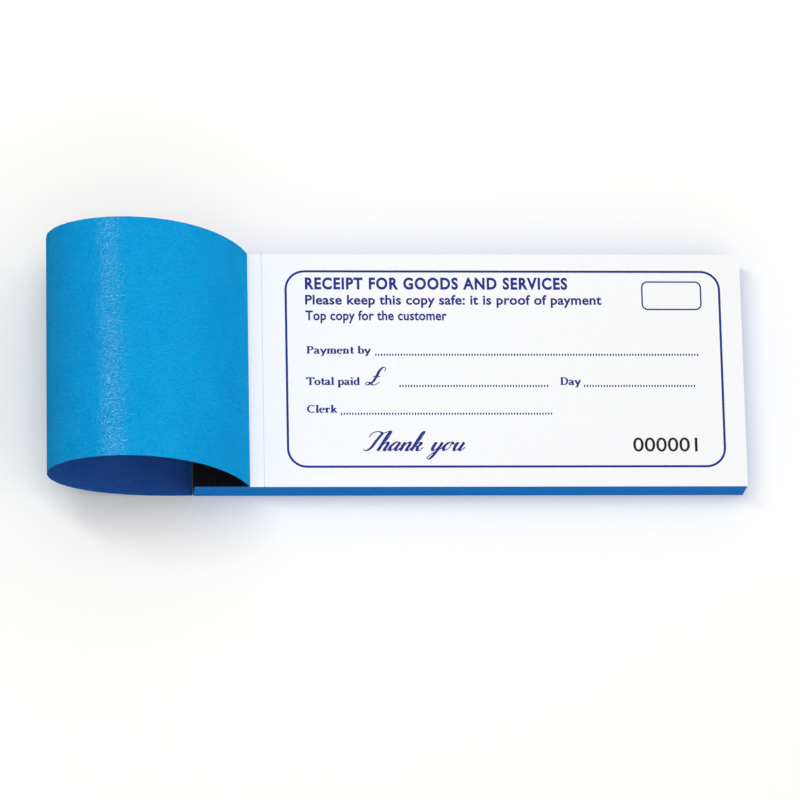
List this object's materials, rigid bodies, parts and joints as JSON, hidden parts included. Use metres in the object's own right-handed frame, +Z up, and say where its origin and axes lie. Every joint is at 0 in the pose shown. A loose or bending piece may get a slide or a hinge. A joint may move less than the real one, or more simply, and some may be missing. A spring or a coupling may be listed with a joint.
{
  "type": "duplicate receipt book",
  "caption": "Landscape duplicate receipt book: stitched pad of perforated sets in a blue card wrap with a cloth spine, its front cover opened at the stub and curled back under the bound end.",
  "frame": {"origin": "centre of the back cover's underside, which lies on the table", "axes": "+X along the book from the bound end to the free end, +Y away from the writer, +Z up from the table"},
  "size_m": [0.2658, 0.0914, 0.0628],
  "materials": {
    "cover_card": "satin coated card",
    "receipt_paper": "matt",
    "duplicate_paper": "matt",
    "leaf_edges": "matt, stained edges",
    "shield_card": "matt board",
    "binding_glue": "dried glue",
    "binding_cloth": "matt black book cloth",
    "stitching_wire": "bright flat wire"
  },
  "bodies": {
    "bound_pad": {"wrap_cover": "cover_card", "spine_cloth": "binding_cloth", "spine_glue": "binding_glue", "wire_stitches": "stitching_wire", "stub_001": "receipt_paper", "duplicate_001": "duplicate_paper", "receipt_002": "receipt_paper", "duplicate_002": "duplicate_paper", "receipt_003": "receipt_paper", "duplicate_003": "duplicate_paper", "receipt_004": "receipt_paper", "duplicate_004": "duplicate_paper", "receipt_005": "receipt_paper", "duplicate_005": "duplicate_paper", "receipt_006": "receipt_paper", "duplicate_006": "duplicate_paper", "receipt_007": "receipt_paper", "duplicate_007": "duplicate_paper", "receipt_008": "receipt_paper", "duplicate_008": "duplicate_paper", "receipt_009": "receipt_paper", "duplicate_009": "duplicate_paper", "receipt_010": "receipt_paper", "duplicate_010": "duplicate_paper", "sheet_bundle_01": "leaf_edges", "sheet_bundle_02": "leaf_edges", "sheet_bundle_03": "leaf_edges", "sheet_bundle_04": "leaf_edges", "sheet_bundle_05": "leaf_edges", "sheet_bundle_06": "leaf_edges", "sheet_bundle_07": "leaf_edges", "sheet_bundle_08": "leaf_edges", "sheet_bundle_09": "leaf_edges"},
    "top_receipt": {"receipt_001": "receipt_paper"},
    "shield_card": {"writing_shield": "shield_card"},
    "cover_strip_01": {"front_cover_01": "cover_card"},
    "cover_strip_02": {"front_cover_02": "cover_card"},
    "cover_strip_03": {"front_cover_03": "cover_card"},
    "cover_strip_04": {"front_cover_04": "cover_card"},
    "cover_strip_05": {"front_cover_05": "cover_card"},
    "cover_strip_06": {"front_cover_06": "cover_card"},
    "cover_strip_07": {"front_cover_07": "cover_card"},
    "cover_strip_08": {"front_cover_08": "cover_card"},
    "cover_strip_09": {"front_cover_09": "cover_card"},
    "cover_strip_10": {"front_cover_10": "cover_card"},
    "cover_strip_11": {"front_cover_11": "cover_card"},
    "cover_strip_12": {"front_cover_12": "cover_card"},
    "cover_strip_13": {"front_cover_13": "cover_card"},
    "cover_strip_14": {"front_cover_14": "cover_card"},
    "cover_strip_15": {"front_cover_15": "cover_card"},
    "cover_strip_16": {"front_cover_16": "cover_card"},
    "cover_strip_17": {"front_cover_17": "cover_card"},
    "cover_strip_18": {"front_cover_18": "cover_card"},
    "cover_strip_19": {"front_cover_19": "cover_card"},
    "cover_strip_20": {"front_cover_20": "cover_card"},
    "cover_strip_21": {"front_cover_21": "cover_card"},
    "cover_strip_22": {"front_cover_22": "cover_card"},
    "cover_strip_23": {"front_cover_23": "cover_card"},
    "cover_strip_24": {"front_cover_24": "cover_card"}
  },
  "joints": [
    {"name": "cover_fold", "type": "hinge", "parent": "bound_pad", "child": "cover_strip_01", "pos_m": [-0.0844, 0, 0.01421], "axis": [0, 1, 0], "range_deg": [0, 107.68]},
    {"name": "curl_01", "type": "hinge", "parent": "cover_strip_01", "child": "cover_strip_02", "pos_m": [-0.0868, 0, 0.02173], "axis": [0, 1, 0], "range_deg": [0, 5.19]},
    {"name": "curl_02", "type": "hinge", "parent": "cover_strip_02", "child": "cover_strip_03", "pos_m": [-0.08986, 0, 0.029], "axis": [0, 1, 0], "range_deg": [0, 5.2]},
    {"name": "curl_03", "type": "hinge", "parent": "cover_strip_03", "child": "cover_strip_04", "pos_m": [-0.09358, 0, 0.03596], "axis": [0, 1, 0], "range_deg": [0, 5.66]},
    {"name": "curl_04", "type": "hinge", "parent": "cover_strip_04", "child": "cover_strip_05", "pos_m": [-0.09796, 0, 0.04253], "axis": [0, 1, 0], "range_deg": [0, 6.51]},
    {"name": "curl_05", "type": "hinge", "parent": "cover_strip_05", "child": "cover_strip_06", "pos_m": [-0.10306, 0, 0.04855], "axis": [0, 1, 0], "range_deg": [0, 7.71]},
    {"name": "curl_06", "type": "hinge", "parent": "cover_strip_06", "child": "cover_strip_07", "pos_m": [-0.10892, 0, 0.05384], "axis": [0, 1, 0], "range_deg": [0, 9.16]},
    {"name": "curl_07", "type": "hinge", "parent": "cover_strip_07", "child": "cover_strip_08", "pos_m": [-0.11554, 0, 0.05812], "axis": [0, 1, 0], "range_deg": [0, 10.75]},
    {"name": "curl_08", "type": "hinge", "parent": "cover_strip_08", "child": "cover_strip_09", "pos_m": [-0.12285, 0, 0.0611], "axis": [0, 1, 0], "range_deg": [0, 12.37]},
    {"name": "curl_09", "type": "hinge", "parent": "cover_strip_09", "child": "cover_strip_10", "pos_m": [-0.13063, 0, 0.06244], "axis": [0, 1, 0], "range_deg": [0, 13.89]},
    {"name": "curl_10", "type": "hinge", "parent": "cover_strip_10", "child": "cover_strip_11", "pos_m": [-0.1385, 0, 0.06188], "axis": [0, 1, 0], "range_deg": [0, 15.2]},
    {"name": "curl_11", "type": "hinge", "parent": "cover_strip_11", "child": "cover_strip_12", "pos_m": [-0.14595, 0, 0.05927], "axis": [0, 1, 0], "range_deg": [0, 16.21]},
    {"name": "curl_12", "type": "hinge", "parent": "cover_strip_12", "child": "cover_strip_13", "pos_m": [-0.15237, 0, 0.05469], "axis": [0, 1, 0], "range_deg": [0, 16.84]},
    {"name": "cover_uncurl", "type": "hinge", "parent": "cover_strip_13", "child": "cover_strip_14", "pos_m": [-0.15719, 0, 0.04844], "axis": [0, 1, 0], "range_deg": [0, 17.05]},
    {"name": "curl_14", "type": "hinge", "parent": "cover_strip_14", "child": "cover_strip_15", "pos_m": [-0.15997, 0, 0.04105], "axis": [0, 1, 0], "range_deg": [0, 16.81]},
    {"name": "curl_15", "type": "hinge", "parent": "cover_strip_15", "child": "cover_strip_16", "pos_m": [-0.16049, 0, 0.03317], "axis": [0, 1, 0], "range_deg": [0, 16.15]},
    {"name": "curl_16", "type": "hinge", "parent": "cover_strip_16", "child": "cover_strip_17", "pos_m": [-0.1588, 0, 0.02547], "axis": [0, 1, 0], "range_deg": [0, 15.11]},
    {"name": "curl_17", "type": "hinge", "parent": "cover_strip_17", "child": "cover_strip_18", "pos_m": [-0.15516, 0, 0.01846], "axis": [0, 1, 0], "range_deg": [0, 13.78]},
    {"name": "curl_18", "type": "hinge", "parent": "cover_strip_18", "child": "cover_strip_19", "pos_m": [-0.14995, 0, 0.01253], "axis": [0, 1, 0], "range_deg": [0, 12.25]},
    {"name": "curl_19", "type": "hinge", "parent": "cover_strip_19", "child": "cover_strip_20", "pos_m": [-0.14361, 0, 0.00784], "axis": [0, 1, 0], "range_deg": [0, 10.63]},
    {"name": "curl_20", "type": "hinge", "parent": "cover_strip_20", "child": "cover_strip_21", "pos_m": [-0.13651, 0, 0.00439], "axis": [0, 1, 0], "range_deg": [0, 9.04]},
    {"name": "curl_21", "type": "hinge", "parent": "cover_strip_21", "child": "cover_strip_22", "pos_m": [-0.12895, 0, 0.00211], "axis": [0, 1, 0], "range_deg": [0, 7.61]},
    {"name": "curl_22", "type": "hinge", "parent": "cover_strip_22", "child": "cover_strip_23", "pos_m": [-0.12116, 0, 0.00085], "axis": [0, 1, 0], "range_deg": [0, 6.44]},
    {"name": "curl_23", "type": "hinge", "parent": "cover_strip_23", "child": "cover_strip_24", "pos_m": [-0.11328, 0, 0.00046], "axis": [0, 1, 0], "range_deg": [0, 5.61]},
    {"name": "receipt_tear_off", "type": "slide", "parent": "bound_pad", "child": "top_receipt", "axis": [1, 0, 0], "range_m": [0, 0.19]},
    {"name": "shield_slide", "type": "slide", "parent": "bound_pad", "child": "shield_card", "axis": [1, 0, 0], "range_m": [0, 0.185]}
  ],
  "couplings": [
    {"joint": "curl_01", "follows": "cover_uncurl", "ratio": 0.30416},
    {"joint": "curl_02", "follows": "cover_uncurl", "ratio": 0.30513},
    {"joint": "curl_03", "follows": "cover_uncurl", "ratio": 0.33173},
    {"joint": "curl_04", "follows": "cover_uncurl", "ratio": 0.38198},
    {"joint": "curl_05", "follows": "cover_uncurl", "ratio": 0.45217},
    {"joint": "curl_06", "follows": "cover_uncurl", "ratio": 0.53707},
    {"joint": "curl_07", "follows": "cover_uncurl", "ratio": 0.63041},
    {"joint": "curl_08", "follows": "cover_uncurl", "ratio": 0.72525},
    {"joint": "curl_09", "follows": "cover_uncurl", "ratio": 0.81456},
    {"joint": "curl_10", "follows": "cover_uncurl", "ratio": 0.89172},
    {"joint": "curl_11", "follows": "cover_uncurl", "ratio": 0.951},
    {"joint": "curl_12", "follows": "cover_uncurl", "ratio": 0.98801},
    {"joint": "curl_14", "follows": "cover_uncurl", "ratio": 0.98609},
    {"joint": "curl_15", "follows": "cover_uncurl", "ratio": 0.9473},
    {"joint": "curl_16", "follows": "cover_uncurl", "ratio": 0.88651},
    {"joint": "curl_17", "follows": "cover_uncurl", "ratio": 0.80824},
    {"joint": "curl_18", "follows": "cover_uncurl", "ratio": 0.71828},
    {"joint": "curl_19", "follows": "cover_uncurl", "ratio": 0.62331},
    {"joint": "curl_20", "follows": "cover_uncurl", "ratio": 0.53037},
    {"joint": "curl_21", "follows": "cover_uncurl", "ratio": 0.44635},
    {"joint": "curl_22", "follows": "cover_uncurl", "ratio": 0.37749},
    {"joint": "curl_23", "follows": "cover_uncurl", "ratio": 0.32889}
  ]
}
